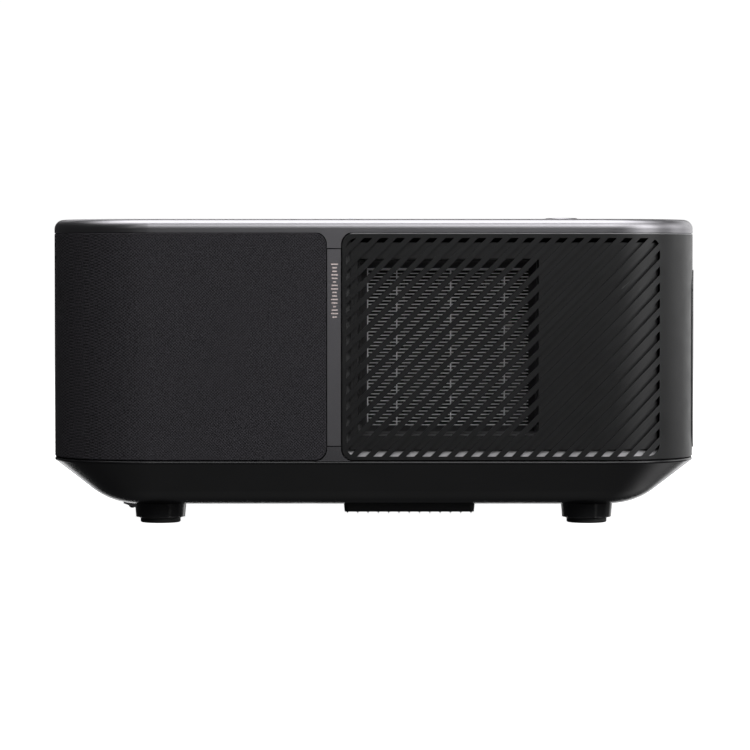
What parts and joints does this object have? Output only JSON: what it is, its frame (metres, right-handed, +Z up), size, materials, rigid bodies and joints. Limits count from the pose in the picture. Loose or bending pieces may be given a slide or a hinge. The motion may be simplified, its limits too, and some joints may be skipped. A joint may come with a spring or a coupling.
{
  "type": "home projector",
  "caption": "Compact desktop projector with rounded graphite casing, cloth speaker wrap at the front, slatted side grilles, recessed lens, feet and fold-out tilt stand.",
  "frame": {"origin": "centre of the bounding box's underside, on the surface the feet stand on", "axes": "+Z up; the lens looks along -X and the ports face +X; the exhaust grille with the fin stack is on the -Y side"},
  "size_m": [0.2708, 0.222, 0.1298],
  "materials": {
    "graphite_shell": "satin",
    "accent": "satin",
    "rose_marks": "satin",
    "cloth": "woven",
    "black_trim": "satin",
    "black_inner": "matt",
    "fascia_gloss": "glossy",
    "foot_plastic": "satin",
    "rubber_pad": "matt",
    "surround_rubber": "matt",
    "steel": "satin",
    "stand_paint": "satin",
    "insert_brass": "satin",
    "alloy": "satin",
    "nickel": "nickel plated",
    "lens_glass": "coated",
    "smoked_window": "glossy",
    "light_pipe": "translucent",
    "circuit_board": "satin",
    "paper_cone": "matt",
    "foam": "open cell foam",
    "mesh": "matt"
  },
  "bodies": {
    "casing": {"accent_marks": "rose_marks", "accent_strips": "accent", "air_ducts": "black_inner", "audio_socket": "black_inner", "base_pan": "graphite_shell", "button_board": "circuit_board", "chassis_frame": "black_inner", "chassis_plate": "steel", "cold_plate": "alloy", "data_sockets": "steel", "engine_housing": "black_inner", "engine_lid": "alloy", "engine_optics": "lens_glass", "exhaust_fan_frame": "black_inner", "feet": "foot_plastic", "fin_stack": "alloy", "focus_motor": "steel", "foot_pads": "rubber_pad", "front_fascia": "fascia_gloss", "grille_baffles": "black_inner", "grille_left": "black_trim", "grille_right": "black_trim", "heat_pipes": "nickel", "heatsinks": "alloy", "imaging_board": "circuit_board", "intake_fan_frame": "black_inner", "intake_screen": "mesh", "lens_barrel": "black_inner", "light_source": "circuit_board", "main_board": "circuit_board", "port_panel": "black_trim", "power_board": "circuit_board", "power_inlet": "black_inner", "rear_panel": "black_trim", "screws": "steel", "sensor_board": "circuit_board", "sensor_windows": "smoked_window", "speaker_boxes": "black_inner", "speaker_carrier": "black_inner", "speaker_cloth": "cloth", "speaker_frames": "black_inner", "speaker_magnets": "steel", "speaker_surrounds": "surround_rubber", "standoffs": "steel", "status_light": "light_pipe", "tilt_stand_bracket": "steel", "tilt_stand_pin": "steel", "top_cover": "graphite_shell", "tripod_insert": "insert_brass"},
    "power_button": {"power_button": "graphite_shell"},
    "exhaust_rotor": {"exhaust_fan_rotor": "black_inner"},
    "intake_rotor": {"intake_fan_rotor": "black_inner"},
    "lens": {"lens_cell": "black_inner", "lens_glass": "lens_glass"},
    "focus_screw": {"focus_screw": "steel"},
    "tilt_stand": {"tilt_stand": "stand_paint"},
    "filter_cover": {"filter_cover": "black_inner", "filter_foam": "foam"},
    "cone_left": {"speaker_cone_left": "paper_cone"},
    "cone_right": {"speaker_cone_right": "paper_cone"}
  },
  "joints": [
    {"name": "power_button_press", "type": "slide", "parent": "casing", "child": "power_button", "axis": [0, 0, 1], "range_m": [-0.0008, 0], "stiffness_N_per_m": 400, "springref_m": 0.0008},
    {"name": "exhaust_fan_spin", "type": "hinge", "parent": "casing", "child": "exhaust_rotor", "pos_m": [0.0308, -0.0639, 0.0736], "axis": [0, 1, 0], "continuous": true},
    {"name": "intake_fan_spin", "type": "hinge", "parent": "casing", "child": "intake_rotor", "pos_m": [0.0308, 0.0885, 0.0736], "axis": [0, 1, 0], "continuous": true},
    {"name": "lens_focus", "type": "slide", "parent": "casing", "child": "lens", "axis": [1, 0, 0], "range_m": [-0.0015, 0.0015]},
    {"name": "focus_screw_spin", "type": "hinge", "parent": "casing", "child": "focus_screw", "pos_m": [-0.09, 0.0345, 0.0755], "axis": [1, 0, 0], "range_deg": [-1081, 1081]},
    {"name": "tilt_stand_swing", "type": "hinge", "parent": "casing", "child": "tilt_stand", "pos_m": [-0.1046, 0, 0.0055], "axis": [0, 1, 0], "range_deg": [0, 100]},
    {"name": "filter_cover_pull", "type": "slide", "parent": "casing", "child": "filter_cover", "axis": [0, 0, -1], "range_m": [0, 0.02]},
    {"name": "speaker_left_stroke", "type": "slide", "parent": "casing", "child": "cone_left", "axis": [0, -1, 0], "range_m": [-0.001, 0.001], "stiffness_N_per_m": 1500},
    {"name": "speaker_right_stroke", "type": "slide", "parent": "casing", "child": "cone_right", "axis": [0, 1, 0], "range_m": [-0.001, 0.001], "stiffness_N_per_m": 1500}
  ],
  "couplings": [
    {"joint": "focus_screw_spin", "follows": "lens_focus", "rad_per_m": 12566}
  ]
}
